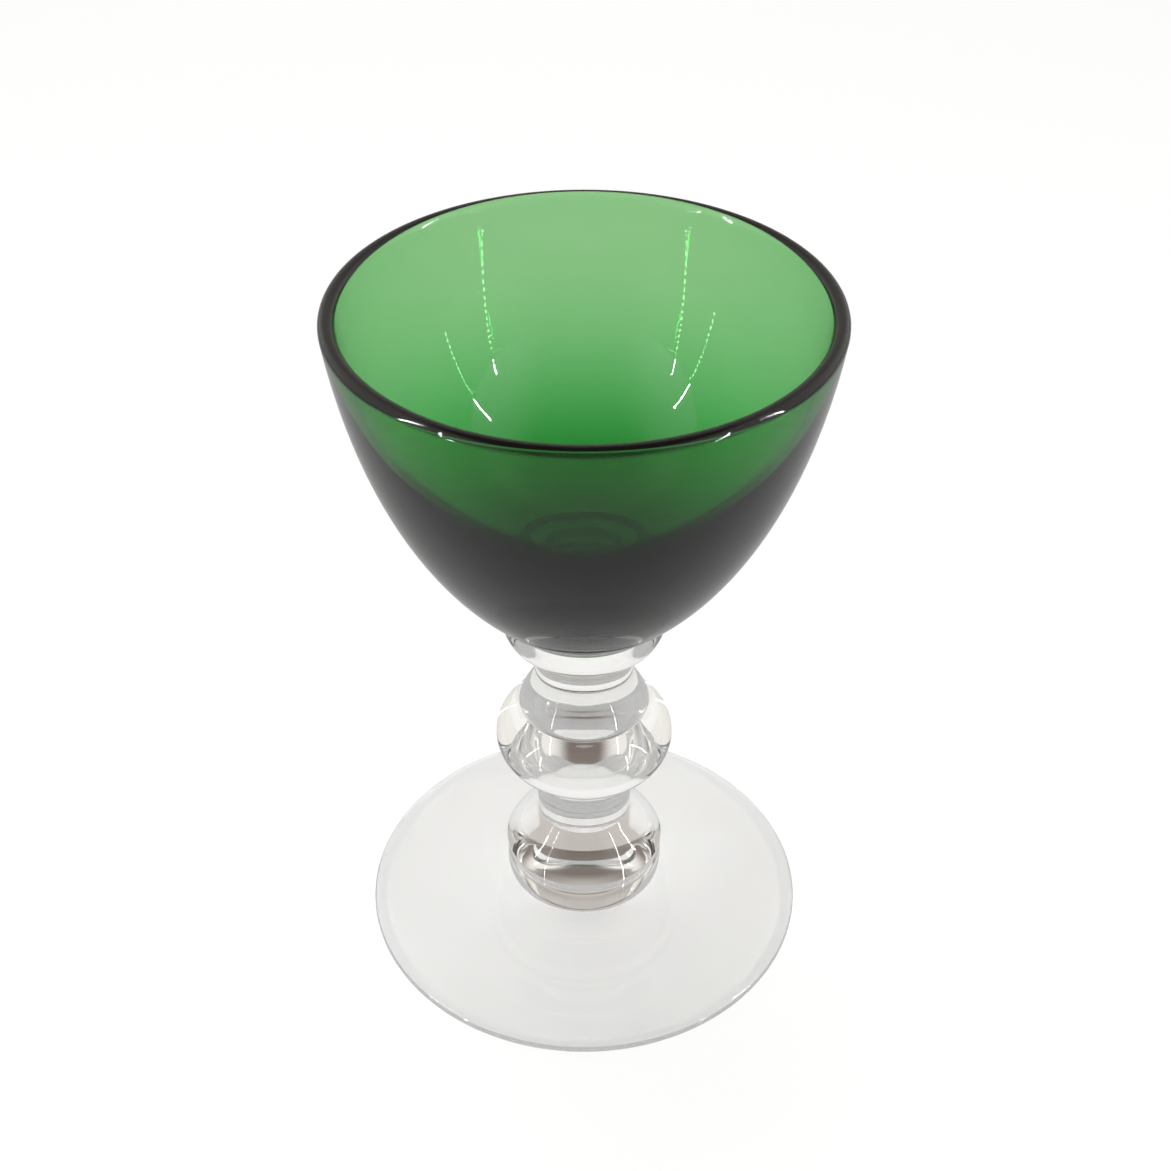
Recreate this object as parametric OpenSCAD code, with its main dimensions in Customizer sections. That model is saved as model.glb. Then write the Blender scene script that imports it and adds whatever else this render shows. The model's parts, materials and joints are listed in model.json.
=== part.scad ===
// Cordial glass: a green bowl with a heavy base, on a clear stem of stacked knops and a round foot.
// Every piece is turned about Z. The foot stands on z = 0 and the pieces are stacked up from it.
// Lengths are in millimetres and angles in degrees. A radius or height inside a piece is counted
// from the axis and from the joint under the piece.

/* [Bowl] */
// Width of the bowl across the lip
rim_d = 56.3; // [50:0.1:64]
// Height of the bowl, from the edge of the collar to the lip
bowl_h = 40.4; // [36:0.1:46]
// Thickness of the wall at the lip
rim_wall = 1.85; // [1.4:0.05:2.6]
// Depth of the drinking space, from the lip to its bottom
bowl_depth = 30.8; // [26:0.1:35]
// Width of the bowl's seat on the collar
seat_d = 19.6; // [18.6:0.1:21]
// How far the seat dips into the collar
seat_dip = 2; // [1:0.1:2.4]
// Angle of the wall where it leaves the seat, from the level
seat_angle = 40.5; // [36:0.5:46]
// Lean of the wall at the lip, from the upright
rim_lean = 7.3; // [4:0.1:10]

/* [Collar] */
// Height of the collar at its edge
collar_h = 3.75; // [3.2:0.05:4.6]
// Width of the collar at its sharp lower edge
collar_low_d = 18.3; // [16.4:0.1:19]

/* [Upper neck] */
// Length of the upper neck
upper_neck_h = 7.1; // [4:0.1:9]
// Width of the upper neck at its waist
upper_neck_d = 11.8; // [10:0.1:12]
// Width of the upper neck where it spreads under the collar
upper_neck_top_d = 12.9; // [12.2:0.1:14]

/* [Shoulder ring] */
// Height of the shoulder ring
ring_h = 4.6; // [4.2:0.1:7]
// Width of the ring at its widest
ring_d = 16.1; // [15.4:0.1:18]
// Width of the joint between the ring and the upper neck
ring_top_d = 12.2; // [12:0.1:13.6]
// Height of the widest level above the ball
ring_belly_h = 0.7; // [0.5:0.1:3]

/* [Ball knop] */
// Width of the ball at its widest
ball_d = 22.1; // [20:0.1:26]
// Height that the ball's round side would have if it ran on to the joints' level parts
ball_round_h = 10.4; // [8:0.1:13]
// Width of the flat core that the round side is swept about
ball_core_d = 8.2; // [4:0.1:9]
// Width of the joint between the ball and the ring
ball_top_d = 14.7; // [13.5:0.1:15.2]
// Width of the joint between the ball and the lower neck
ball_low_d = 12.5; // [11:0.1:13]

/* [Lower neck] */
// Length of the lower neck
lower_neck_h = 7.7; // [5:0.1:12]
// Width of the lower neck at its foot, on the bell
lower_neck_d = 11.8; // [9:0.1:12]

/* [Bell knop] */
// Height of the bell
bell_h = 6.85; // [5:0.05:9]
// Width of the bell at its widest
bell_d = 20.2; // [19.6:0.1:23]
// Height of the widest level above the wafer
bell_belly_h = 1.5; // [0.8:0.1:2.4]

/* [Foot wafer] */
// Height of the wafer
wafer_h = 3.6; // [2:0.1:5]
// Width of the wafer at its widest
wafer_d = 20.1; // [19.6:0.1:23]
// Width of the joint between the wafer and the bell
wafer_top_d = 19.2; // [17:0.1:19.4]
// Width of the joint between the wafer and the foot
wafer_low_d = 19.5; // [17:0.1:19.6]

/* [Foot] */
// Width of the foot
foot_d = 56.3; // [50:0.1:64]
// Height of the foot where the wafer sits
foot_h = 5.5; // [4:0.1:7]
// Thickness of the foot's rounded edge
foot_edge_h = 1.35; // [1:0.05:1.8]
// Width of the level ring that the foot stands on
foot_bearing_w = 1; // [0.8:0.1:3]
// Height of the hollow under the middle of the foot
foot_hollow_h = 1.3; // [0.6:0.1:2]

/* [Hidden] */
$fn = 128;
bow_steps = 24;
round_steps = 12;

// How far a bow's handles reach, as shares of the piece they bend
wall_low_share = 0.228;
wall_high_share = 0.545;
inside_high_share = 0.85;
inside_low_share = 0.3;
seat_middle_share = 0.46;
seat_edge_share = 0.31;
collar_swell_share = 0.05;
collar_pull_share = 0.34;
neck_pull_share = 0.36;
ring_slope_share = 0.4;
ring_belly_share = 0.2;
bell_cove_share = 0.24;
bell_shoulder_share = 0.55;
foot_top_share = 0.17;
foot_edge_share = 0.3;
hollow_flat_share = 0.35;

// Slopes of the stem's outlines, from the level
bell_cove_angle = 56;
bell_side_angle = 65;
ring_top_angle = 62;
foot_top_angle = 24;
foot_edge_angle = 6;

// Heights of the joints above the level that the foot stands on
wafer_z = foot_h;
bell_z = wafer_z + wafer_h;
lower_neck_z = bell_z + bell_h;
ball_z = lower_neck_z + lower_neck_h;
ball_core_r = ball_core_d / 2;
ball_round_r = ball_d / 2 - ball_core_r;
ball_low_angle = -acos((ball_low_d / 2 - ball_core_r) / ball_round_r);
ball_top_angle = acos((ball_top_d / 2 - ball_core_r) / ball_round_r);
ball_low_h = -ball_round_h / 2 * sin(ball_low_angle);
ball_h = ball_low_h + ball_round_h / 2 * sin(ball_top_angle);
ring_z = ball_z + ball_h;
upper_neck_z = ring_z + ring_h;
collar_z = upper_neck_z + upper_neck_h;
bowl_z = collar_z + collar_h;

// The lip is a full round, met by both faces of the wall along their lean
lip_r = rim_wall / 2;
lip_middle = [rim_d / 2 - lip_r, bowl_h - lip_r];
lip_outside = lip_middle + lip_r * [cos(rim_lean), -sin(rim_lean)];
lip_inside = lip_middle - lip_r * [cos(rim_lean), sin(rim_lean)];

// Points of a smooth bow from a to d, pulled towards b as it leaves and towards c as it arrives
function bow(a, b, c, d) = [
    for (i = [0 : bow_steps])
        let (t = i / bow_steps, u = 1 - t)
            u * u * u * a + 3 * u * u * t * b + 3 * u * t * t * c + t * t * t * d
];

// Points of an ellipse's arc from one angle to another
function round_side(middle, radii, from, to) = [
    for (i = [0 : round_steps])
        let (angle = from + (to - from) * i / round_steps)
            middle + [radii.x * cos(angle), radii.y * sin(angle)]
];

// A step of the given length along an angle from the level
function along(angle, length) = length * [cos(angle), sin(angle)];

// The dished seat, from the axis to the edge of the collar, shared by the bowl and the collar
function seat_bow() = let (edge = [seat_d / 2, 0]) bow(
    [0, -seat_dip],
    [seat_middle_share * edge.x, -seat_dip],
    edge - along(seat_angle, seat_edge_share * edge.x),
    edge
);

// The outside of the bowl, from the edge of the collar up to the lip
function wall_bow() = let (edge = [seat_d / 2, 0]) bow(
    edge,
    edge + along(seat_angle, wall_low_share * bowl_h),
    lip_outside - along(90 - rim_lean, wall_high_share * bowl_h),
    lip_outside
);

// The inside of the bowl, from the lip down to the middle of its bottom
function inside_bow() = let (bottom_h = bowl_h - bowl_depth) bow(
    lip_inside,
    lip_inside - along(90 - rim_lean, inside_high_share * bowl_depth),
    [inside_low_share * lip_inside.x, bottom_h],
    [0, bottom_h]
);

// Turns an outline about Z, lifted to the height of its lower joint
module turned(outline, z) {
    translate([0, 0, z])
        rotate_extrude()
            polygon(outline);
}

// Clear foot: a shallow cone with a rounded edge, hollow underneath
module foot() {
    edge_r = foot_edge_h / 2;
    edge_middle = [foot_d / 2 - edge_r, edge_r];
    joint = [wafer_low_d / 2, foot_h];
    bearing_r = edge_middle.x - foot_bearing_w;
    top = bow(
        joint,
        joint + along(-foot_top_angle, foot_top_share * foot_d / 2),
        [edge_middle.x, foot_edge_h] - along(-foot_edge_angle, foot_edge_share * foot_d / 2),
        [edge_middle.x, foot_edge_h]
    );
    edge = round_side(edge_middle, [edge_r, edge_r], 90, -90);
    hollow = bow(
        [bearing_r, 0],
        [bearing_r * (1 - hollow_flat_share), foot_hollow_h],
        [bearing_r * hollow_flat_share, foot_hollow_h],
        [0, foot_hollow_h]
    );
    color([0.86, 0.89, 0.88])
        turned(concat([[0, foot_h]], top, edge, hollow), 0);
}

// Clear wafer that joins the bell to the foot, bulging at mid height
module foot_wafer() {
    low = [wafer_low_d / 2, 0];
    high = [wafer_top_d / 2, wafer_h];
    middle = [wafer_d / 2, wafer_h / 2];
    lower_side = round_side([low.x, middle.y], [middle.x - low.x, middle.y], -90, 0);
    upper_side = round_side([high.x, middle.y], [middle.x - high.x, middle.y], 0, 90);
    color([0.84, 0.87, 0.87])
        turned(concat([[0, 0]], lower_side, upper_side, [[0, high.y]]), wafer_z);
}

// Clear bell: a round side over the wafer, a sloping shoulder and a cove into the neck
module bell_knop() {
    low_r = wafer_top_d / 2;
    belly = [bell_d / 2, bell_belly_h];
    top = [lower_neck_d / 2, bell_h];
    shoulder_h = bell_h - bell_belly_h;
    side = round_side([low_r, belly.y], [belly.x - low_r, belly.y], -90, 0);
    shoulder = bow(
        belly,
        belly + along(180 - bell_side_angle, bell_shoulder_share * shoulder_h),
        top + along(-bell_cove_angle, bell_cove_share * shoulder_h),
        top
    );
    color([0.83, 0.86, 0.85])
        turned(concat([[0, 0]], side, shoulder, [[0, top.y]]), bell_z);
}

// Clear neck between the bell and the ball, widening upwards
module lower_neck() {
    low = [lower_neck_d / 2, 0];
    high = [ball_low_d / 2, lower_neck_h];
    pull = [0, neck_pull_share * lower_neck_h];
    color([0.87, 0.9, 0.89])
        turned(concat([[0, 0]], bow(low, low + pull, high - pull, high), [[0, high.y]]), lower_neck_z);
}

// Clear ball, flattened, with a level joint above and below
module ball_knop() {
    side = round_side(
        [ball_core_r, ball_low_h],
        [ball_round_r, ball_round_h / 2],
        ball_low_angle,
        ball_top_angle
    );
    color([0.85, 0.88, 0.87])
        turned(concat([[0, 0]], side, [[0, ball_h]]), ball_z);
}

// Clear ring on the ball: a round lower edge and a shoulder that slopes in to the neck
module shoulder_ring() {
    low_r = ball_top_d / 2;
    belly = [ring_d / 2, ring_belly_h];
    top = [ring_top_d / 2, ring_h];
    shoulder_h = ring_h - ring_belly_h;
    side = round_side([low_r, belly.y], [belly.x - low_r, belly.y], -90, 0);
    shoulder = bow(
        belly,
        belly + [0, ring_belly_share * shoulder_h],
        top + along(-ring_top_angle, ring_slope_share * shoulder_h),
        top
    );
    color([0.86, 0.89, 0.88])
        turned(concat([[0, 0]], side, shoulder, [[0, top.y]]), ring_z);
}

// Clear neck between the ring and the collar, waisted
module upper_neck() {
    low = [ring_top_d / 2, 0];
    high = [upper_neck_top_d / 2, upper_neck_h];
    waist_r = upper_neck_d / 2;
    pull_h = neck_pull_share * upper_neck_h;
    side = bow(low, [waist_r, pull_h], [waist_r, upper_neck_h - pull_h], high);
    color([0.87, 0.9, 0.89])
        turned(concat([[0, 0]], side, [[0, high.y]]), upper_neck_z);
}

// Clear collar: a disc with a sharp lower edge and a dished top that the bowl sits in
module bowl_collar() {
    low = [collar_low_d / 2, 0];
    high = [seat_d / 2, collar_h];
    pull_h = collar_pull_share * collar_h;
    side = bow(low, low + [collar_swell_share * seat_d, pull_h], high - [0, pull_h], high);
    top = [for (point = seat_bow()) point + [0, collar_h]];
    color([0.88, 0.91, 0.9])
        turned(concat([[0, 0]], side, [for (i = [1 : bow_steps]) top[bow_steps - i]]), collar_z);
}

// Green bowl: thin at the rounded lip and thick at the base
module bowl() {
    lip = round_side(lip_middle, [lip_r, lip_r], -rim_lean, 180 + rim_lean);
    color([0.13, 0.42, 0.2])
        turned(concat(seat_bow(), wall_bow(), lip, inside_bow()), bowl_z);
}

foot();
foot_wafer();
bell_knop();
lower_neck();
ball_knop();
shoulder_ring();
upper_neck();
bowl_collar();
bowl();
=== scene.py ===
# %% [markdown]
# # A cordial glass
#
# A small green bowl with a heavy base is fused to a clear stem of stacked knops, which stands on a
# wide clear foot. The whole glass is turned about one upright axis, so each piece here is an outline
# that is spun once round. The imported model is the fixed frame: it says where every joint lies, and
# the outlines below are drawn between those joints.

# %% Load the frame
import json
import math

import bmesh
import bpy
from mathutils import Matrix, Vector
from mathutils.geometry import interpolate_bezier


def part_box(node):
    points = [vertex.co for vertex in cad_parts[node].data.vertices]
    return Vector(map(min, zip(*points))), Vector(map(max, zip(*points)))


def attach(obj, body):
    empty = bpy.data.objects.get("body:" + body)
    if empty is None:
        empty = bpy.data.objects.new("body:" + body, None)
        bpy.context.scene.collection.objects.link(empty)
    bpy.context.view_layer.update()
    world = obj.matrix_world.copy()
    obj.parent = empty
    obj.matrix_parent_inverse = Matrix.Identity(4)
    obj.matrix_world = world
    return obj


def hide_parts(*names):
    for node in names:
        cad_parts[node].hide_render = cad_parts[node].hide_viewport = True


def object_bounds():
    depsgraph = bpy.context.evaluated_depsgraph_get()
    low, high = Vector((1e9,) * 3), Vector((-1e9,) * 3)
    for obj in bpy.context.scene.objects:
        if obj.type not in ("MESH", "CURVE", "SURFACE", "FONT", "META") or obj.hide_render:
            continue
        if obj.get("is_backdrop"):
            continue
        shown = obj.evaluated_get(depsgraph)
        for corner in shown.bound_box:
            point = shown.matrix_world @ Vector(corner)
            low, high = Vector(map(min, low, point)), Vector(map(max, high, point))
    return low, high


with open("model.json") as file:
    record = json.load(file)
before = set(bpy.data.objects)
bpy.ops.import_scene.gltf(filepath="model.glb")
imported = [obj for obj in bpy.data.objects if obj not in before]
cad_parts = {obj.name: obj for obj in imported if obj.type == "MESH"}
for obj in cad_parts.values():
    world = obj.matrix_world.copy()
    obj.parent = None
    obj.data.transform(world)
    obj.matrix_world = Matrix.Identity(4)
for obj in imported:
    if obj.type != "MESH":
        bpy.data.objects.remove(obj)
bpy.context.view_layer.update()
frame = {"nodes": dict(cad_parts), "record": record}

# %% [markdown]
# ## Camera
#
# The photograph looks down on the glass from the front. The lip and the foot are equally wide, so the
# sizes of their two ellipses fix how far away and how steep the camera is. It stands about 25 cm off
# and looks 37.8 degrees down. The small shift is the photograph's own framing.

# %% Camera
MM = 0.001
PICTURE_PX = 1171
FOCAL_PX = 1819.8
AXIS_PX = 584.1
SENSOR_W = 36
LOOK_DOWN = math.radians(37.8)
CAMERA_BACK = 170.2 * MM
CAMERA_UP = 183.4 * MM

camera_data = bpy.data.cameras.new("camera")
camera_data.sensor_width = SENSOR_W
camera_data.lens = FOCAL_PX / PICTURE_PX * SENSOR_W
camera_data.shift_x = (PICTURE_PX / 2 - AXIS_PX) / PICTURE_PX
camera_data.clip_start = MM
camera = bpy.data.objects.new("camera", camera_data)
camera.location = (0, -CAMERA_BACK, CAMERA_UP)
camera.rotation_euler = (math.pi / 2 - LOOK_DOWN, 0, 0)
scene = bpy.context.scene
scene.collection.objects.link(camera)
scene.camera = camera
print("lens in mm:", round(camera_data.lens, 2))

# %% [markdown]
# ## Light paths
#
# Light may cross several of the nine pieces on its way to the camera, and each has two faces. With
# the usual limits such a path ends in black, so this scene lets light cross more faces.

# %% Light paths
scene.view_settings.view_transform = "Standard"
scene.cycles.max_bounces = 32
scene.cycles.transmission_bounces = 32
scene.cycles.transparent_max_bounces = 64
scene.cycles.glossy_bounces = 8
scene.cycles.diffuse_bounces = 4
print("faces that light may cross:", scene.cycles.transmission_bounces)

# %% [markdown]
# ## Writing a material as a formula
#
# A material is a sheet of nodes. `Sheet.node` adds any node, sets its settings and then its sockets.
# What it returns is a `Value`, and arithmetic on a `Value` adds the Math nodes, so a mask can be
# written the way it is said.

# %% Helpers for materials
class Value:
    """An output socket. Arithmetic on it adds Math nodes to its sheet."""

    def __init__(self, sheet, socket):
        self.sheet = sheet
        self.socket = socket

    def math(self, operation, *others):
        return self.sheet.node("ShaderNodeMath", {"operation": operation}, self, *others)

    def __add__(self, other):
        return self.math("ADD", other)

    def __mul__(self, other):
        return self.math("MULTIPLY", other)


class Sheet:
    """The nodes of one material or world."""

    def __init__(self, owner):
        owner.use_nodes = True
        self.tree = owner.node_tree
        self.tree.nodes.clear()

    def fill(self, socket, value):
        """Puts a number or a colour in a socket, or links a value to it."""
        if isinstance(value, Value):
            self.tree.links.new(value.socket, socket)
        else:
            socket.default_value = value

    def node(self, kind, settings=None, *values, out=0, **named):
        """Adds a node: its settings first, then its sockets by number and by name."""
        made = self.tree.nodes.new(kind)
        for setting, value in (settings or {}).items():
            setattr(made, setting, value)
        for number, value in enumerate(values):
            self.fill(made.inputs[number], value)
        for name, value in named.items():
            self.fill(made.inputs[name.replace("_", " ")], value)
        return Value(self, made.outputs[out]) if made.outputs else made

    def mix_colour(self, share, none, full):
        """A colour that goes from none to full as share goes from 0 to 1."""
        mix = self.tree.nodes.new("ShaderNodeMix")
        mix.data_type = "RGBA"
        for key, value in ((0, share), (6, none), (7, full)):
            self.fill(mix.inputs[key], value)
        return Value(self, mix.outputs[2])

    def smooth(self, value, start, end):
        """Goes smoothly from 0 to 1 as value goes from start to end."""
        smoothly = {"interpolation_type": "SMOOTHSTEP"}
        return self.node("ShaderNodeMapRange", smoothly, value, start, end)


print("material helpers are ready")

# %% [markdown]
# ## Floor and backdrop
#
# The glass stands on plain white paper. Paper under soft light comes out light grey, so most of what
# the camera sees of it is a plain white glow, and the rest is lit paper that keeps the soft shadow.
# Light that has gone straight through the glass sees the paper a little greyer, with more of the
# shadow. Light that was mirrored on its way sees it darker still: that splits the stem into the pale
# and grey bands that show its shape, and keeps the floor's mirror image on the bowl dark.

# %% Floor
FLOOR_W = 3
PAPER = (0.92, 0.92, 0.92, 1)
PAPER_GRAIN = (0.9, 0.9, 0.9, 1)
GRAINS_PER_M = 90.0
WHITE = (1, 1, 1, 1)

# Each glow is a share of what is seen, and each level is how bright the glow is, where white is 1.
CAMERA_GLOW = 0.85
THROUGH_GLOW = 0.5
THROUGH_LEVEL = 0.66
MIRRORED_GLOW = 0.85
MIRRORED_LEVEL = 0.45


def floor_material():
    material = bpy.data.materials.new("white_sweep")
    sheet = Sheet(material)
    camera_ray, glass_ray, bounces = [
        sheet.node("ShaderNodeLightPath", out=name)
        for name in ("Is Camera Ray", "Is Transmission Ray", "Glossy Depth")
    ]
    been_mirrored = bounces.math("MINIMUM", 1.0)
    place = sheet.node("ShaderNodeTexCoord", out="Object")
    grain = sheet.node("ShaderNodeTexNoise", None, place, Scale=GRAINS_PER_M, Detail=2.0)
    paper = sheet.mix_colour(grain, PAPER, PAPER_GRAIN)
    lit = sheet.node("ShaderNodeBsdfDiffuse", Color=paper)
    white = sheet.node("ShaderNodeEmission", Color=WHITE, Strength=1.0)
    mirrored = sheet.node("ShaderNodeEmission", Color=WHITE, Strength=MIRRORED_LEVEL)
    pale = sheet.node("ShaderNodeEmission", Color=WHITE, Strength=THROUGH_LEVEL)
    seen = sheet.node("ShaderNodeMixShader", None, glass_ray * THROUGH_GLOW, lit, pale)
    seen = sheet.node("ShaderNodeMixShader", None, been_mirrored * MIRRORED_GLOW, seen, mirrored)
    seen = sheet.node("ShaderNodeMixShader", None, camera_ray * CAMERA_GLOW, seen, white)
    sheet.node("ShaderNodeOutputMaterial", None, seen)
    return material


floor_mesh = bpy.data.meshes.new("floor")
shape = bmesh.new()
bmesh.ops.create_grid(shape, x_segments=1, y_segments=1, size=FLOOR_W / 2)
shape.to_mesh(floor_mesh)
shape.free()
floor = bpy.data.objects.new("floor", floor_mesh)
scene.collection.objects.link(floor)
floor_mesh.materials.append(floor_material())
floor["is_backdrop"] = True
print("floor width in m:", FLOOR_W)

# %% [markdown]
# ## Studio
#
# Clear glass has no colour of its own: what it mirrors and bends is the room. This room is bright at
# the left and right, grey behind, dark on the camera's side and dim overhead. The dark parts draw the
# edges of the knops, as in any photograph of glass. The camera itself sees plain white.

# %% World
SIDE_WALLS = (0.9, 0.87, 0.82, 1)
BACK_WALL = (0.55, 0.52, 0.48, 1)
CAMERA_SIDE = (0.2, 0.16, 0.14, 1)
OVERHEAD = (0.20, 0.18, 0.155, 1)

# Where one part of the room blends into the next, along a direction of length 1
SIDE_BLEND = (0.3, 0.75)
BACK_BLEND = (-0.4, 0.3)
OVERHEAD_BLEND = (0.78, 0.92)


def studio_world():
    world = bpy.data.worlds.new("studio")
    sheet = Sheet(world)
    direction = sheet.node("ShaderNodeTexCoord", out="Generated")
    across, depth, height = [
        sheet.node("ShaderNodeSeparateXYZ", None, direction, out=axis) for axis in "XYZ"
    ]
    sideways = sheet.smooth(across.math("ABSOLUTE"), *SIDE_BLEND)
    behind = sheet.smooth(depth, *BACK_BLEND)
    upwards = sheet.smooth(height, *OVERHEAD_BLEND)
    walls = sheet.mix_colour(behind, CAMERA_SIDE, BACK_WALL)
    walls = sheet.mix_colour(sideways, walls, SIDE_WALLS)
    room = sheet.mix_colour(upwards, walls, OVERHEAD)
    camera_ray = sheet.node("ShaderNodeLightPath", out="Is Camera Ray")
    seen = sheet.node("ShaderNodeBackground", None, WHITE, 1.0)
    lit = sheet.node("ShaderNodeBackground", None, room, 1.0)
    shown = sheet.node("ShaderNodeMixShader", None, camera_ray, lit, seen)
    sheet.node("ShaderNodeOutputWorld", None, shown)
    return world


scene.world = studio_world()
print("light from the side walls, where white is 1:", SIDE_WALLS[:3])

# %% [markdown]
# ## Lamps
#
# One soft lamp stands high up behind the glass and throws its shadow forward on the paper. It isn't
# mirrored in the glass. Four upright strips of small square lamps stand round the glass, one at each
# side and two by the camera. Those at the sides draw the dotted streaks inside the bowl, and those by
# the camera draw the short glints on the stem.

# %% Lamps
AIM = Vector((0, 0, 50 * MM))


def lamp(name, place, size, power, mirrored):
    """A square lamp that faces the glass."""
    data = bpy.data.lights.new(name, "AREA")
    data.size = size
    data.energy = power
    made = bpy.data.objects.new(name, data)
    made.location = place
    made.rotation_euler = (AIM - place).to_track_quat("-Z", "Y").to_euler()
    made.visible_glossy = mirrored
    made.visible_transmission = mirrored
    scene.collection.objects.link(made)
    return made


SOFT_PLACE = Vector((-80, 200, 650)) * MM
SOFT_W = 300 * MM
SOFT_POWER = 2.2
lamp("soft_box", SOFT_PLACE, SOFT_W, SOFT_POWER, False)

STRIP_FAR = 300 * MM
STRIP_PITCH = 10 * MM
STRIP_LAMPS = 23
DOT_W = 5 * MM

# For each strip: where its lowest and its highest lamp stand round the glass, in degrees from the
# right, then the height of the lowest lamp and the power of each
STRIPS = {
    "right": (-9, -9, 90 * MM, 0.02),
    "left": (-163, -163, 80 * MM, 0.02),
    "front_right": (-39, -31, 10 * MM, 0.008),
    "front_left": (-141, -149, 10 * MM, 0.008),
}
for name, (low_turn, high_turn, low, power) in STRIPS.items():
    for i in range(STRIP_LAMPS):
        around = math.radians(low_turn + (high_turn - low_turn) * i / (STRIP_LAMPS - 1))
        height = low + i * STRIP_PITCH
        place = Vector((math.cos(around) * STRIP_FAR, math.sin(around) * STRIP_FAR, height))
        lamp(f"strip_{name}_{i}", place, DOT_W, power, True)
print("lamps:", 1 + len(STRIPS) * STRIP_LAMPS)

# %% [markdown]
# ## Outlines
#
# A turner thinks in half outlines: how far the surface stands from the axis at each height. An
# outline here is a run of points in the plane y = 0. Curved stretches are Bezier curves between two
# joints, with a handle at each end that says how the surface leaves the joint. A handle's length is
# a share of the piece, so it follows when the piece changes.

# %% Helpers for outlines
CURVE_POINTS = 28
ROUND_POINTS = 13
LEVEL_SLACK = 0.01 * MM


def point(radius, height):
    return Vector((radius, 0, height))


def along(angle, length):
    """A step in the outline's plane, at an angle in degrees from the level."""
    return Vector((math.cos(math.radians(angle)), 0, math.sin(math.radians(angle)))) * length


def bow(start, leave, arrive, end):
    """A smooth curve from start to end, pulled towards leave and then arrive."""
    return interpolate_bezier(start, leave, arrive, end, CURVE_POINTS)


def rounded(middle, width, height, start, end):
    """An arc of an ellipse, from one angle to another in degrees."""
    steps = ROUND_POINTS - 1
    angles = [math.radians(start + (end - start) * i / steps) for i in range(ROUND_POINTS)]
    return [middle + point(width * math.cos(angle), height * math.sin(angle)) for angle in angles]


def levels(node):
    """The lowest and highest level of a CAD node, and its greatest radius."""
    low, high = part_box(node)
    return low.z, high.z, high.x


def radius_at(node, height):
    """The radius of a CAD node's outline at one of its own levels."""
    spots = [vertex.co for vertex in frame["nodes"][node].data.vertices]
    return max(spot.xy.length for spot in spots if abs(spot.z - height) < LEVEL_SLACK)


print("points on each curve:", CURVE_POINTS)

# %% [markdown]
# ## Turning
#
# `turn` draws the outline as a wire and spins it once round the axis. The two ends of the wire lie on
# the axis, so their copies are merged there and the shape closes. Where two clear pieces are fused,
# nothing can be seen between them. The faces that lie in such a joint get a second finish that
# light crosses unbent. Creases are marked sharp, so that the shading doesn't smear across them.

# %% Helper for turning
TURN_STEPS = 192
CREASE = math.radians(22)
SAME_SPOT = 0.002 * MM
MERGED = 0.0005 * MM


def turn(name, outline, joints=()):
    """Spins an outline about the axis. Joints are pairs of a level and a radius."""
    shape = bmesh.new()
    wire = []
    for spot in outline:
        if not wire or (spot - wire[-1].co).length > SAME_SPOT:
            wire.append(shape.verts.new(spot))
    edges = [shape.edges.new(pair) for pair in zip(wire, wire[1:])]
    bmesh.ops.spin(
        shape,
        geom=wire + edges,
        axis=(0, 0, 1),
        angle=2 * math.pi,
        steps=TURN_STEPS,
        use_merge=True,
    )
    bmesh.ops.remove_doubles(shape, verts=shape.verts, dist=MERGED)
    bmesh.ops.recalc_face_normals(shape, faces=shape.faces)
    for face in shape.faces:
        middle = face.calc_center_median()
        face.smooth = True
        in_joints = [
            abs(middle.z - level) < LEVEL_SLACK and middle.xy.length < radius
            for level, radius in joints
        ]
        face.material_index = int(any(in_joints))
    for edge in shape.edges:
        edge.smooth = edge.calc_face_angle(0) < CREASE
    open_edges = sum(len(edge.link_faces) != 2 for edge in shape.edges)
    mesh = bpy.data.meshes.new(name)
    shape.to_mesh(mesh)
    print(name, "faces:", len(shape.faces), "open edges:", open_edges)
    shape.free()
    made = bpy.data.objects.new(name, mesh)
    scene.collection.objects.link(made)
    return made


pieces = {}

# %% [markdown]
# ## Foot
#
# The foot is a shallow cone that runs out almost level to a rounded edge. Underneath it is a little
# hollow, so that it stands on a narrow ring. The top starts steeply at the wafer and flattens.

# %% Foot
foot_low, foot_top, foot_r = levels("foot")
wafer_low, wafer_top, wafer_r = levels("foot_wafer")
wafer_joint = point(radius_at("foot_wafer", wafer_low), foot_top)

foot_edge_h = 1.35 * MM
foot_hollow_h = 1.3 * MM
foot_bearing_w = 1 * MM

# How the top leaves the wafer and how it meets the edge: the angle in degrees of each handle, and
# its length as a share of the foot's radius
WAFER_ANGLE = -24
WAFER_SHARE = 0.17
EDGE_ANGLE = 174
EDGE_SHARE = 0.3
HOLLOW_FLAT_SHARE = 0.35

edge_r = foot_edge_h / 2
edge_middle = point(foot_r - edge_r, foot_low + edge_r)
edge_top = edge_middle + point(0, edge_r)
bearing_r = edge_middle.x - foot_bearing_w

foot_outline = [point(0, foot_top)]
foot_outline += bow(
    wafer_joint,
    wafer_joint + along(WAFER_ANGLE, WAFER_SHARE * foot_r),
    edge_top + along(EDGE_ANGLE, EDGE_SHARE * foot_r),
    edge_top,
)
foot_outline += rounded(edge_middle, edge_r, edge_r, 90, -90)
foot_outline += bow(
    point(bearing_r, foot_low),
    point(bearing_r * (1 - HOLLOW_FLAT_SHARE), foot_low + foot_hollow_h),
    point(bearing_r * HOLLOW_FLAT_SHARE, foot_low + foot_hollow_h),
    point(0, foot_low + foot_hollow_h),
)
pieces["foot"] = turn("foot_glass", foot_outline, [(foot_top, wafer_joint.x)])

# %% [markdown]
# ## Foot wafer
#
# A low wafer of glass joins the stem to the foot. Its side bulges a little past the joints above and
# below it, as a blob of hot glass does when it is pressed.

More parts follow.
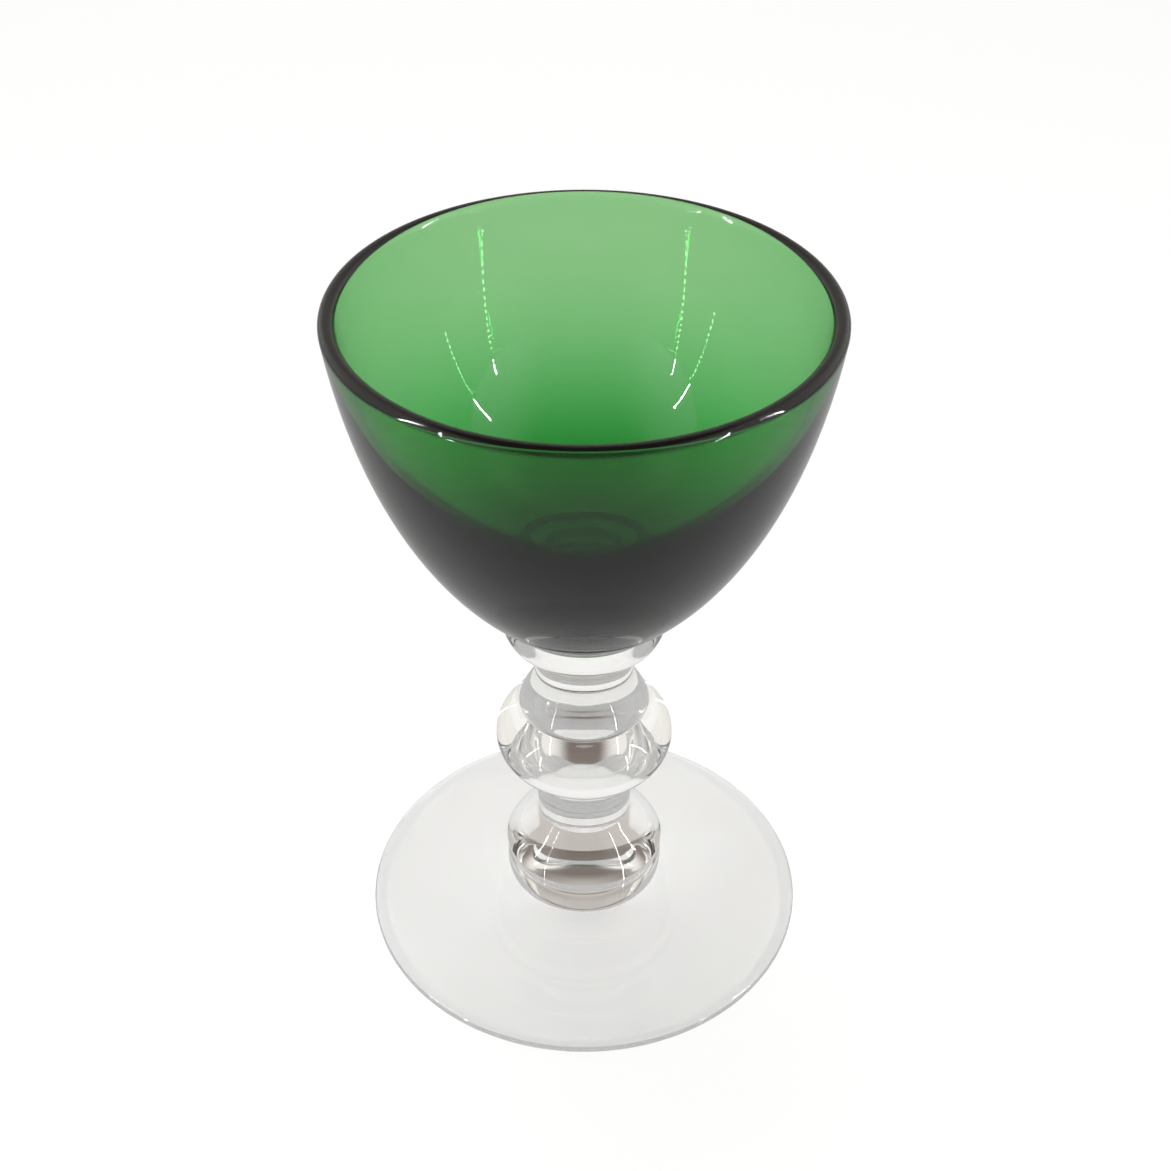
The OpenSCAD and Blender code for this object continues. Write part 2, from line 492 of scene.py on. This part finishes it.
# %% Foot wafer
bell_low, bell_top, bell_r = levels("bell_knop")
bell_joint = point(radius_at("bell_knop", bell_low), bell_low)
wafer_middle = (wafer_low + wafer_top) / 2
half_h = wafer_top - wafer_middle

wafer_outline = [point(0, wafer_low)]
for side, start, end in ((wafer_joint.x, -90, 0), (bell_joint.x, 0, 90)):
    wafer_outline += rounded(point(side, wafer_middle), wafer_r - side, half_h, start, end)
wafer_outline += [point(0, wafer_top)]
pieces["foot_wafer"] = turn(
    "foot_wafer_glass",
    wafer_outline,
    [(wafer_low, wafer_joint.x), (wafer_top, bell_joint.x)],
)

# %% [markdown]
# ## Bell knop
#
# Above the wafer the stem spreads into a bell: a round lower side, a shoulder that slopes in, and a
# cove that runs up into the neck.

# %% Bell knop
lower_neck_low, lower_neck_top, _ = levels("lower_neck")
bell_neck = point(radius_at("lower_neck", lower_neck_low), bell_top)
bell_belly_h = 1.5 * MM

# The handles of the sloping side: their angles, and their lengths as shares of its height
SHOULDER_ANGLE = 115
SHOULDER_SHARE = 0.55
COVE_ANGLE = -56
COVE_SHARE = 0.24

bell_belly = point(bell_r, bell_low + bell_belly_h)
shoulder_h = bell_top - bell_belly.z

bell_outline = [point(0, bell_low)]
bell_outline += rounded(
    point(bell_joint.x, bell_belly.z),
    bell_r - bell_joint.x,
    bell_belly_h,
    -90,
    0,
)
bell_outline += bow(
    bell_belly,
    bell_belly + along(SHOULDER_ANGLE, SHOULDER_SHARE * shoulder_h),
    bell_neck + along(COVE_ANGLE, COVE_SHARE * shoulder_h),
    bell_neck,
)
bell_outline += [point(0, bell_top)]
pieces["bell_knop"] = turn(
    "bell_knop_glass",
    bell_outline,
    [(bell_low, bell_joint.x), (bell_top, bell_neck.x)],
)

# %% [markdown]
# ## Lower neck
#
# A short neck, a little wider at the top, where it meets the ball.

# %% Lower neck
ball_low, ball_top, ball_r = levels("ball_knop")
ball_foot = point(radius_at("ball_knop", ball_low), ball_low)
NECK_PULL_SHARE = 0.36
pull = point(0, NECK_PULL_SHARE * (lower_neck_top - lower_neck_low))

lower_neck_outline = [point(0, lower_neck_low)]
lower_neck_outline += bow(bell_neck, bell_neck + pull, ball_foot - pull, ball_foot)
lower_neck_outline += [point(0, lower_neck_top)]
pieces["lower_neck"] = turn(
    "lower_neck_glass",
    lower_neck_outline,
    [(lower_neck_low, bell_neck.x), (lower_neck_top, ball_foot.x)],
)

# %% [markdown]
# ## Ball knop
#
# The large ball is flattened: its side is half an ellipse that is swept about a small flat core. It
# is cut level where the ring sits on it and where the neck enters it.

# %% Ball knop
ring_low, ring_top, ring_r = levels("shoulder_ring")
ball_head = point(radius_at("shoulder_ring", ring_low), ring_low)
ball_core_r = 4.1 * MM
ball_round_h = 10.4 * MM
side_w = ball_r - ball_core_r
foot_angle = math.degrees(math.acos((ball_foot.x - ball_core_r) / side_w))
head_angle = math.degrees(math.acos((ball_head.x - ball_core_r) / side_w))
belly_z = ball_low + ball_round_h / 2 * math.sin(math.radians(foot_angle))

ball_outline = [point(0, ball_low)]
for start, end in ((-foot_angle, 0), (0, head_angle)):
    ball_outline += rounded(point(ball_core_r, belly_z), side_w, ball_round_h / 2, start, end)
ball_outline += [point(0, ball_top)]
pieces["ball_knop"] = turn(
    "ball_knop_glass",
    ball_outline,
    [(ball_low, ball_foot.x), (ball_top, ball_head.x)],
)

# %% [markdown]
# ## Shoulder ring
#
# A ring sits on the ball. Its lower edge is round, and above its widest level it slopes in to the
# neck.

# %% Shoulder ring
upper_neck_low, upper_neck_top, _ = levels("upper_neck")
ring_neck = point(radius_at("shoulder_ring", ring_top), ring_top)
ring_belly_h = 0.7 * MM
RING_SIDE_SHARE = 0.2
RING_SLOPE_SHARE = 0.4
RING_SLOPE_ANGLE = -62

ring_belly = point(ring_r, ring_low + ring_belly_h)
shoulder_h = ring_top - ring_belly.z

ring_outline = [point(0, ring_low)]
ring_outline += rounded(
    point(ball_head.x, ring_belly.z),
    ring_r - ball_head.x,
    ring_belly_h,
    -90,
    0,
)
ring_outline += bow(
    ring_belly,
    ring_belly + point(0, RING_SIDE_SHARE * shoulder_h),
    ring_neck + along(RING_SLOPE_ANGLE, RING_SLOPE_SHARE * shoulder_h),
    ring_neck,
)
ring_outline += [point(0, ring_top)]
pieces["shoulder_ring"] = turn(
    "shoulder_ring_glass",
    ring_outline,
    [(ring_low, ball_head.x), (ring_top, ring_neck.x)],
)

# %% [markdown]
# ## Upper neck
#
# The neck under the collar is waisted: it is drawn in between the ring and the collar.

# %% Upper neck
collar_low, collar_top, _ = levels("bowl_collar")
neck_head = point(radius_at("upper_neck", upper_neck_top), upper_neck_top)
waist_r = 5.9 * MM
pull_h = NECK_PULL_SHARE * (upper_neck_top - upper_neck_low)

upper_neck_outline = [point(0, upper_neck_low)]
upper_neck_outline += bow(
    ring_neck,
    point(waist_r, upper_neck_low + pull_h),
    point(waist_r, upper_neck_top - pull_h),
    neck_head,
)
upper_neck_outline += [point(0, upper_neck_top)]
pieces["upper_neck"] = turn(
    "upper_neck_glass",
    upper_neck_outline,
    [(upper_neck_low, ring_neck.x), (upper_neck_top, neck_head.x)],
)

# %% [markdown]
# ## Bowl collar
#
# A disc with a sharp lower edge carries the bowl. Its top is dished like the underside of the bowl.
# The two kinds of glass touch all over the dish, and the bowl dips into it by a hair, so that light
# goes from one into the other without meeting a film of air.

# %% Bowl collar
bowl_low, lip_top, lip_r = levels("bowl")
seat_edge = point(radius_at("bowl_collar", collar_top), collar_top)
collar_edge = point(radius_at("bowl_collar", collar_low), collar_low)
FUSED_DEPTH = 0.02 * MM
SEAT_ANGLE = 40.5

# The first three are shares of the seat's radius, and the last one is a share of the collar's height
SEAT_FLAT_SHARE = 0.46
SEAT_RISE_SHARE = 0.31
COLLAR_SWELL_SHARE = 0.1
COLLAR_PULL_SHARE = 0.34


def seat(lift):
    """The dish that the bowl sits in, from the axis out to the edge of the collar."""
    up = point(0, lift)
    return bow(
        point(0, bowl_low) + up,
        point(SEAT_FLAT_SHARE * seat_edge.x, bowl_low) + up,
        seat_edge + up + along(180 + SEAT_ANGLE, SEAT_RISE_SHARE * seat_edge.x),
        seat_edge + up,
    )


pull = point(0, COLLAR_PULL_SHARE * (collar_top - collar_low))
swell = point(COLLAR_SWELL_SHARE * seat_edge.x, 0)
collar_outline = [point(0, collar_low), neck_head]
collar_outline += bow(collar_edge, collar_edge + pull + swell, seat_edge - pull, seat_edge)
collar_outline += reversed(seat(FUSED_DEPTH))
pieces["bowl_collar"] = turn("bowl_collar_glass", collar_outline, [(collar_low, neck_head.x)])

# %% [markdown]
# ## Bowl
#
# The wall is thin at the lip and thick at the base: the thick glass is why the base looks nearly
# black and the upper wall bright green, though both are one colour of glass. The lip is a full round,
# as it is when it has been melted smooth.

# %% Bowl
lip_wall = 1.85 * MM
drink_depth = 30.8 * MM
LIP_LEAN = 7.3

# Shares of the height of the bowl, then of the depth and the radius of the drinking space
BASE_PULL_SHARE = 0.228
WALL_PULL_SHARE = 0.545
INSIDE_PULL_SHARE = 0.85
INSIDE_FLAT_SHARE = 0.3

bowl_h = lip_top - collar_top
lip_half = lip_wall / 2
lip_middle = point(lip_r - lip_half, lip_top - lip_half)
lip_outside = lip_middle + along(-LIP_LEAN, lip_half)
lip_inside = lip_middle + along(180 + LIP_LEAN, lip_half)
drink_low = lip_top - drink_depth

bowl_outline = seat(0)
bowl_outline += bow(
    seat_edge,
    seat_edge + along(SEAT_ANGLE, BASE_PULL_SHARE * bowl_h),
    lip_outside - along(90 - LIP_LEAN, WALL_PULL_SHARE * bowl_h),
    lip_outside,
)
bowl_outline += rounded(lip_middle, lip_half, lip_half, -LIP_LEAN, 180 + LIP_LEAN)
bowl_outline += bow(
    lip_inside,
    lip_inside - along(90 - LIP_LEAN, INSIDE_PULL_SHARE * drink_depth),
    point(INSIDE_FLAT_SHARE * lip_inside.x, drink_low),
    point(0, drink_low),
)
pieces["bowl"] = turn("bowl_glass", bowl_outline)

# %% [markdown]
# ## Clear glass
#
# The stem is clear glass that has been worked hot. Its surface is polished by the flame, but not as
# flat as a ground lens: the tools leave faint rings and soft dents, which make the streaks of light
# waver. Those are a bump, far too shallow to be modelled. The tint is held in the surface colour.

# %% Clear glass
GLASS_IOR = 1.5
SHADOW_SHARE = 0.8
COOL_TINT = (0.986, 0.996, 0.992, 1)
WARM_TINT = (0.998, 0.992, 0.986, 1)

# Heights in millimetres, which the bump node scales to the scene's metres
RING_HEIGHT = 0.008
DENT_HEIGHT = 0.002

# How fine the dents are, and the cords of slightly different glass that tint it
DENTS_PER_M = 140.0
CORDS_PER_M = 60.0

# This scale of the wave sets the tool rings 2 mm apart
RING_SCALE = 160.0


def surface_bump(sheet):
    """Faint tool rings round the axis and soft dents, as a normal."""
    place = sheet.node("ShaderNodeTexCoord", out="Object")
    rings = sheet.node(
        "ShaderNodeTexWave",
        {"bands_direction": "Z", "wave_profile": "SIN"},
        place,
        out="Fac",
        Scale=RING_SCALE,
        Distortion=1.0,
        Detail=0.0,
    )
    dents = sheet.node("ShaderNodeTexNoise", None, place, Scale=DENTS_PER_M, Detail=0.0)
    height = rings * RING_HEIGHT + dents * DENT_HEIGHT
    return sheet.node("ShaderNodeBump", None, Height=height, Strength=1.0, Distance=MM)


def corded_tint(sheet, one, other):
    """A tint that wavers between two colours, as glass does along its cords."""
    place = sheet.node("ShaderNodeTexCoord", out="Object")
    cords = sheet.node("ShaderNodeTexNoise", None, place, Scale=CORDS_PER_M, Detail=2.0)
    return sheet.mix_colour(cords, one, other)


def polished_glass(sheet, tint, **more):
    return sheet.node(
        "ShaderNodeBsdfPrincipled",
        Base_Color=tint,
        Roughness=0.0,
        IOR=GLASS_IOR,
        Transmission_Weight=1.0,
        **more,
    )


def with_pale_shadow(sheet, glass, share):
    """Lets shadow rays cross the glass, so that it casts a pale shadow and not a black one."""
    shadow_ray = sheet.node("ShaderNodeLightPath", out="Is Shadow Ray")
    crossed = sheet.node("ShaderNodeBsdfTransparent", None, (share, share, share, 1))
    return sheet.node("ShaderNodeMixShader", None, shadow_ray, glass, crossed)


def clear_glass():
    material = bpy.data.materials.new("clear_glass")
    sheet = Sheet(material)
    tint = corded_tint(sheet, COOL_TINT, WARM_TINT)
    glass = polished_glass(sheet, tint, Normal=surface_bump(sheet))
    sheet.node("ShaderNodeOutputMaterial", None, with_pale_shadow(sheet, glass, SHADOW_SHARE))
    return material


def fused_joint():
    """The finish of a face inside fused glass: light crosses it unbent."""
    material = bpy.data.materials.new("fused_joint")
    sheet = Sheet(material)
    sheet.node("ShaderNodeOutputMaterial", None, sheet.node("ShaderNodeBsdfTransparent", None, WHITE))
    return material


clear = clear_glass()
joint = fused_joint()
print("clear glass bends light by", GLASS_IOR)

# %% [markdown]
# ## Green glass
#
# The green is inside the glass, not on it, so it is a volume that takes away red and blue light with
# each millimetre. Thin glass is bright green and thick glass nearly black without any painting. Where
# the photographed wall is thin it is yellower than where it is thick, so the skin of the glass takes a
# little blue light and the volume takes less of it than of red.

# %% Green glass
TAKEN_PER_MM = Vector((0.63, 0.225, 0.49))
SKIN_TINT = (0.98, 1, 0.7, 1)
SKIN_TINT_PALE = (1, 1, 0.74, 1)


def green_glass():
    material = bpy.data.materials.new("green_glass")
    sheet = Sheet(material)
    most = max(TAKEN_PER_MM)
    colour = [1 - taken / most for taken in TAKEN_PER_MM]
    glass = polished_glass(sheet, corded_tint(sheet, SKIN_TINT, SKIN_TINT_PALE))
    shadowed = with_pale_shadow(sheet, glass, SHADOW_SHARE)
    inside = sheet.node("ShaderNodeVolumeAbsorption", None, Color=(*colour, 1), Density=most / MM)
    sheet.node("ShaderNodeOutputMaterial", None, shadowed, inside)
    return material


green = green_glass()
light_left = [round(math.exp(-2 * taken), 2) for taken in TAKEN_PER_MM]
print("light left after 2 mm of green glass:", light_left)

# %% [markdown]
# ## Dressing the frame
#
# Each turned piece stands for one node of the frame, rides on its only body and takes its finish from
# the record's slot.

# %% Dressing the frame
SLOTS = {part["node"]: part["material_slot"] for part in frame["record"]["subparts"]}
for node, piece in pieces.items():
    slot = SLOTS[node]
    piece.data.materials.append(green if slot == "green_glass" else clear)
    piece.data.materials.append(joint)
    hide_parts(node)
    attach(piece, "root")
print("pieces:", len(pieces))

low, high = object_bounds()
print("visual box in mm:", [round(side * 1000, 2) for side in high - low])
